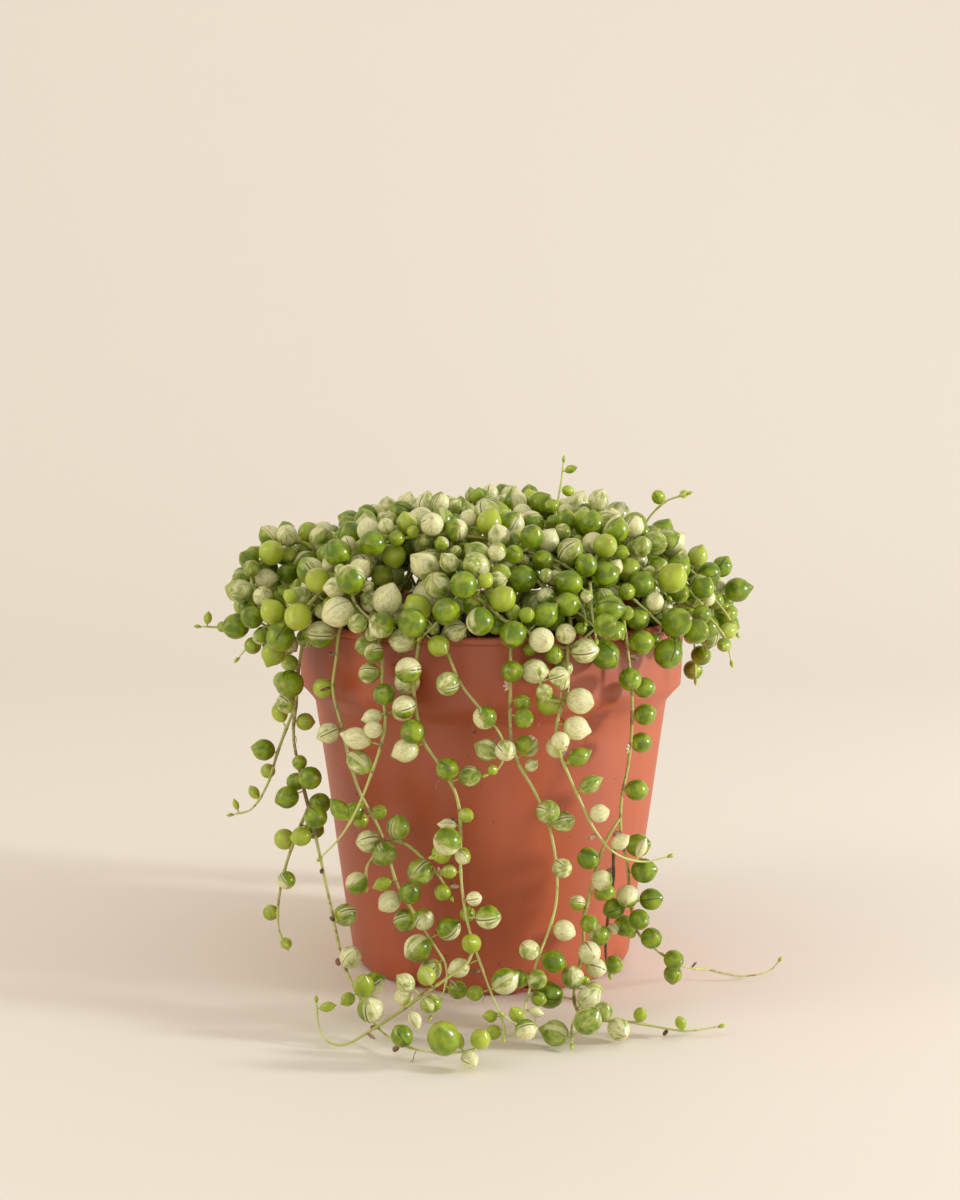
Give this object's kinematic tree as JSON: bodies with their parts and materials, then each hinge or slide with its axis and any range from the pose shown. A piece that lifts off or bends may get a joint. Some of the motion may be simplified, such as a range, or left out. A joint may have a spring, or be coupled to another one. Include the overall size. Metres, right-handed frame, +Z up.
{
  "type": "potted string of pearls plant",
  "caption": "Round-leaved succulent in a tapered thin-walled nursery pot, its bead-like leaves on thin stems that mound over the rim and trail down to lie on the surface.",
  "frame": {"origin": "centre of the flat underside of the pot, on the surface it stands on", "axes": "+Z up, out of the pot's mouth; -Y towards the side with the longest trailing stems; +X to the right when seen from that side"},
  "size_m": [0.1773, 0.1947, 0.157],
  "materials": {
    "terracotta_plastic": "satin",
    "compost": "matte",
    "pearl_green": "satin",
    "pearl_variegated": "satin"
  },
  "bodies": {
    "root": {"nursery_pot": "terracotta_plastic", "compost": "compost", "trailing_stem_left_outer": "pearl_green", "trailing_stem_cream_tip": "pearl_variegated", "trailing_stem_mottled": "pearl_variegated", "trailing_stem_inner_left": "pearl_variegated", "trailing_stem_brown_tip": "pearl_variegated", "trailing_stem_centre": "pearl_variegated", "trailing_stem_white": "pearl_variegated", "trailing_stem_green_right": "pearl_green", "trailing_stem_back_01": "pearl_variegated", "trailing_stem_back_02": "pearl_variegated", "trailing_stem_back_03": "pearl_variegated", "trailing_stem_back_04": "pearl_variegated", "trailing_stem_back_05": "pearl_variegated", "trailing_stem_back_06": "pearl_variegated", "trailing_stem_back_07": "pearl_variegated", "trailing_stem_back_08": "pearl_green", "sprig_upright": "pearl_green", "sprig_top_right": "pearl_green", "sprig_right_outer": "pearl_green", "sprig_right_low": "pearl_green", "sprig_left_outer": "pearl_green", "sprig_left_top": "pearl_green", "sprig_left_low": "pearl_green", "sprig_front_green": "pearl_green", "crown_shoot_01": "pearl_green", "crown_shoot_02": "pearl_variegated", "crown_shoot_03": "pearl_variegated", "crown_shoot_04": "pearl_green", "crown_shoot_05": "pearl_variegated", "crown_shoot_06": "pearl_green", "crown_shoot_07": "pearl_variegated", "crown_shoot_08": "pearl_variegated", "crown_shoot_09": "pearl_green", "crown_shoot_10": "pearl_variegated", "crown_shoot_11": "pearl_variegated", "crown_shoot_12": "pearl_green", "crown_shoot_13": "pearl_variegated", "crown_shoot_14": "pearl_variegated", "crown_shoot_15": "pearl_variegated", "crown_shoot_16": "pearl_green", "crown_shoot_17": "pearl_green", "crown_shoot_18": "pearl_variegated", "crown_shoot_19": "pearl_green", "crown_shoot_20": "pearl_variegated", "crown_shoot_21": "pearl_variegated", "crown_shoot_22": "pearl_green", "crown_shoot_23": "pearl_variegated", "crown_shoot_24": "pearl_green", "crown_shoot_25": "pearl_green", "crown_shoot_26": "pearl_green", "crown_shoot_27": "pearl_green", "crown_shoot_28": "pearl_variegated", "crown_shoot_29": "pearl_green", "crown_shoot_30": "pearl_green"}
  },
  "joints": []
}
